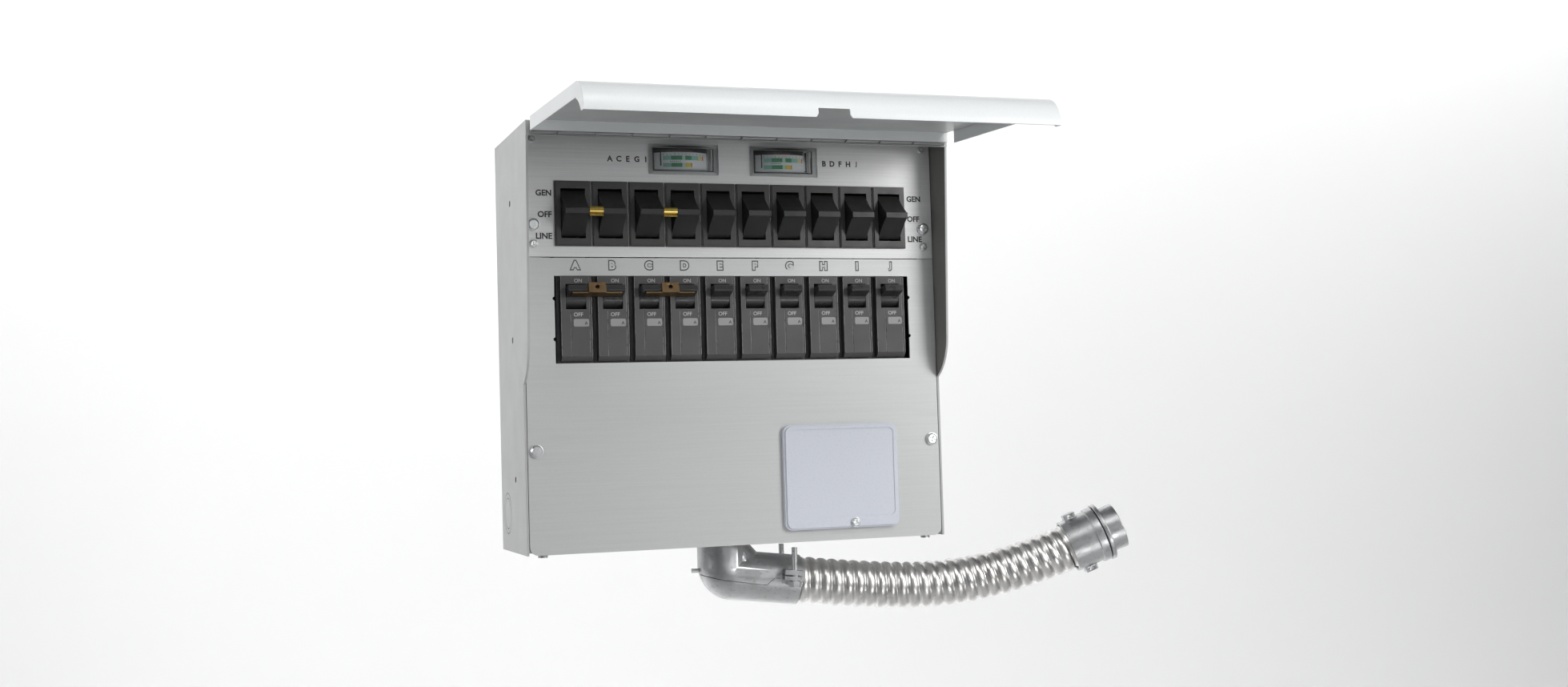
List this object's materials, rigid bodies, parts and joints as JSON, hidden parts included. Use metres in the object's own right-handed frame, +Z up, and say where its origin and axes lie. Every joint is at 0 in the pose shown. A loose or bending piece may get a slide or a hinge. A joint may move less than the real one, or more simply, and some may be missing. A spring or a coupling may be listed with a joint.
{
  "type": "manual transfer switch",
  "caption": "Wall-mounted sheet-steel switch box with lever switches, breakers, two small meters, a top-hung door and a flexible metal conduit whip.",
  "frame": {"origin": "centre of the wall face, at the centre of the four wall fixing holes", "axes": "+Z up, +Y into the wall, -Y out of the front, +X to the viewer's right"},
  "size_m": [0.4433, 0.284, 0.3397],
  "materials": {
    "grey_paint": "satin grey paint over sheet steel",
    "brushed_panel": "fine horizontal brushed look",
    "satin_cover": "satin grey paint",
    "door_paint": "pale grey gloss paint",
    "hinge_steel": "plain rolled steel",
    "inlet_plastic": "pale blue-grey moulded plastic",
    "meter_black": "black moulded plastic",
    "scale_white": "white printed card",
    "clear_lens": "clear polished plastic",
    "needle_dark": "thin painted pointer",
    "brass": "polished brass",
    "switch_black": "black moulded nylon",
    "terminal_brass": "plain brass tab",
    "breaker_grey": "dark grey moulded thermoset",
    "tie_bronze": "dull bronze-tinted metal",
    "handle_black": "black moulded handle",
    "bar_alloy": "extruded bar",
    "zinc_screw": "bright zinc plate",
    "die_cast": "tumbled zinc die casting",
    "conduit_steel": "interlocked metal strip",
    "wire_black": "insulated leads"
  },
  "bodies": {
    "enclosure": {"enclosure_shell": "grey_paint", "upper_panel": "brushed_panel", "lower_cover": "satin_cover", "hinge_leaf_fixed": "hinge_steel", "hinge_pin": "hinge_steel", "inlet_cover": "inlet_plastic", "meter_cases": "meter_black", "meter_scales": "scale_white", "meter_lenses": "clear_lens", "switch_housings": "switch_black", "switch_terminals": "terminal_brass", "breaker_a": "breaker_grey", "breaker_b": "breaker_grey", "breaker_c": "breaker_grey", "breaker_d": "breaker_grey", "breaker_e": "breaker_grey", "breaker_f": "breaker_grey", "breaker_g": "breaker_grey", "breaker_h": "breaker_grey", "breaker_i": "breaker_grey", "breaker_j": "breaker_grey", "breaker_rail": "bar_alloy", "terminal_bars": "bar_alloy", "panel_screws": "zinc_screw", "cover_screws": "zinc_screw", "elbow_body": "die_cast", "elbow_saddle": "die_cast", "elbow_screws": "zinc_screw", "elbow_locknut": "zinc_screw", "flexible_conduit": "conduit_steel", "whip_connector": "die_cast", "wire_harness": "wire_black"},
    "door_pan": {"door": "door_paint", "hinge_leaf_door": "hinge_steel"},
    "rocker_lever_ab": {"rocker_a": "switch_black", "rocker_b": "switch_black", "rocker_tie_ab": "brass"},
    "rocker_lever_cd": {"rocker_c": "switch_black", "rocker_d": "switch_black", "rocker_tie_cd": "brass"},
    "rocker_lever_e": {"rocker_e": "switch_black"},
    "rocker_lever_f": {"rocker_f": "switch_black"},
    "rocker_lever_g": {"rocker_g": "switch_black"},
    "rocker_lever_h": {"rocker_h": "switch_black"},
    "rocker_lever_i": {"rocker_i": "switch_black"},
    "rocker_lever_j": {"rocker_j": "switch_black"},
    "breaker_lever_ab": {"handle_a": "handle_black", "handle_b": "handle_black", "handle_tie_ab": "tie_bronze"},
    "breaker_lever_cd": {"handle_c": "handle_black", "handle_d": "handle_black", "handle_tie_cd": "tie_bronze"},
    "breaker_lever_e": {"handle_e": "handle_black"},
    "breaker_lever_f": {"handle_f": "handle_black"},
    "breaker_lever_g": {"handle_g": "handle_black"},
    "breaker_lever_h": {"handle_h": "handle_black"},
    "breaker_lever_i": {"handle_i": "handle_black"},
    "breaker_lever_j": {"handle_j": "handle_black"},
    "needle_left": {"meter_needle_left": "needle_dark"},
    "needle_right": {"meter_needle_right": "needle_dark"}
  },
  "joints": [
    {"name": "door_hinge", "type": "hinge", "parent": "enclosure", "child": "door_pan", "pos_m": [0, -0.1184, 0.1352], "axis": [1, 0, 0], "range_deg": [0, 88]},
    {"name": "rocker_tilt_ab", "type": "hinge", "parent": "enclosure", "child": "rocker_lever_ab", "pos_m": [0, -0.0885, 0.0851], "axis": [1, 0, 0], "range_deg": [-14, 14]},
    {"name": "rocker_tilt_cd", "type": "hinge", "parent": "enclosure", "child": "rocker_lever_cd", "pos_m": [0, -0.0885, 0.0851], "axis": [1, 0, 0], "range_deg": [-14, 14]},
    {"name": "rocker_tilt_e", "type": "hinge", "parent": "enclosure", "child": "rocker_lever_e", "pos_m": [0, -0.0885, 0.0851], "axis": [1, 0, 0], "range_deg": [-14, 14]},
    {"name": "rocker_tilt_f", "type": "hinge", "parent": "enclosure", "child": "rocker_lever_f", "pos_m": [0, -0.0885, 0.0851], "axis": [1, 0, 0], "range_deg": [-14, 14]},
    {"name": "rocker_tilt_g", "type": "hinge", "parent": "enclosure", "child": "rocker_lever_g", "pos_m": [0, -0.0885, 0.0851], "axis": [1, 0, 0], "range_deg": [-14, 14]},
    {"name": "rocker_tilt_h", "type": "hinge", "parent": "enclosure", "child": "rocker_lever_h", "pos_m": [0, -0.0885, 0.0851], "axis": [1, 0, 0], "range_deg": [-14, 14]},
    {"name": "rocker_tilt_i", "type": "hinge", "parent": "enclosure", "child": "rocker_lever_i", "pos_m": [0, -0.0885, 0.0851], "axis": [1, 0, 0], "range_deg": [-14, 14]},
    {"name": "rocker_tilt_j", "type": "hinge", "parent": "enclosure", "child": "rocker_lever_j", "pos_m": [0, -0.0885, 0.0851], "axis": [1, 0, 0], "range_deg": [-14, 14]},
    {"name": "handle_throw_ab", "type": "hinge", "parent": "enclosure", "child": "breaker_lever_ab", "pos_m": [0, -0.082, 0.029], "axis": [1, 0, 0], "range_deg": [0, 36]},
    {"name": "handle_throw_cd", "type": "hinge", "parent": "enclosure", "child": "breaker_lever_cd", "pos_m": [0, -0.082, 0.029], "axis": [1, 0, 0], "range_deg": [0, 36]},
    {"name": "handle_throw_e", "type": "hinge", "parent": "enclosure", "child": "breaker_lever_e", "pos_m": [0, -0.082, 0.029], "axis": [1, 0, 0], "range_deg": [0, 36]},
    {"name": "handle_throw_f", "type": "hinge", "parent": "enclosure", "child": "breaker_lever_f", "pos_m": [0, -0.082, 0.029], "axis": [1, 0, 0], "range_deg": [0, 36]},
    {"name": "handle_throw_g", "type": "hinge", "parent": "enclosure", "child": "breaker_lever_g", "pos_m": [0, -0.082, 0.029], "axis": [1, 0, 0], "range_deg": [0, 36]},
    {"name": "handle_throw_h", "type": "hinge", "parent": "enclosure", "child": "breaker_lever_h", "pos_m": [0, -0.082, 0.029], "axis": [1, 0, 0], "range_deg": [0, 36]},
    {"name": "handle_throw_i", "type": "hinge", "parent": "enclosure", "child": "breaker_lever_i", "pos_m": [0, -0.082, 0.029], "axis": [1, 0, 0], "range_deg": [0, 36]},
    {"name": "handle_throw_j", "type": "hinge", "parent": "enclosure", "child": "breaker_lever_j", "pos_m": [0, -0.082, 0.029], "axis": [1, 0, 0], "range_deg": [0, 36]},
    {"name": "needle_swing_left", "type": "hinge", "parent": "enclosure", "child": "needle_left", "pos_m": [-0.0365, -0.0551, 0.1235], "axis": [0, 0, 1], "range_deg": [0, 50], "stiffness_Nm_per_rad": 0.0002},
    {"name": "needle_swing_right", "type": "hinge", "parent": "enclosure", "child": "needle_right", "pos_m": [0.0366, -0.0551, 0.1235], "axis": [0, 0, 1], "range_deg": [0, 50], "stiffness_Nm_per_rad": 0.0002}
  ]
}
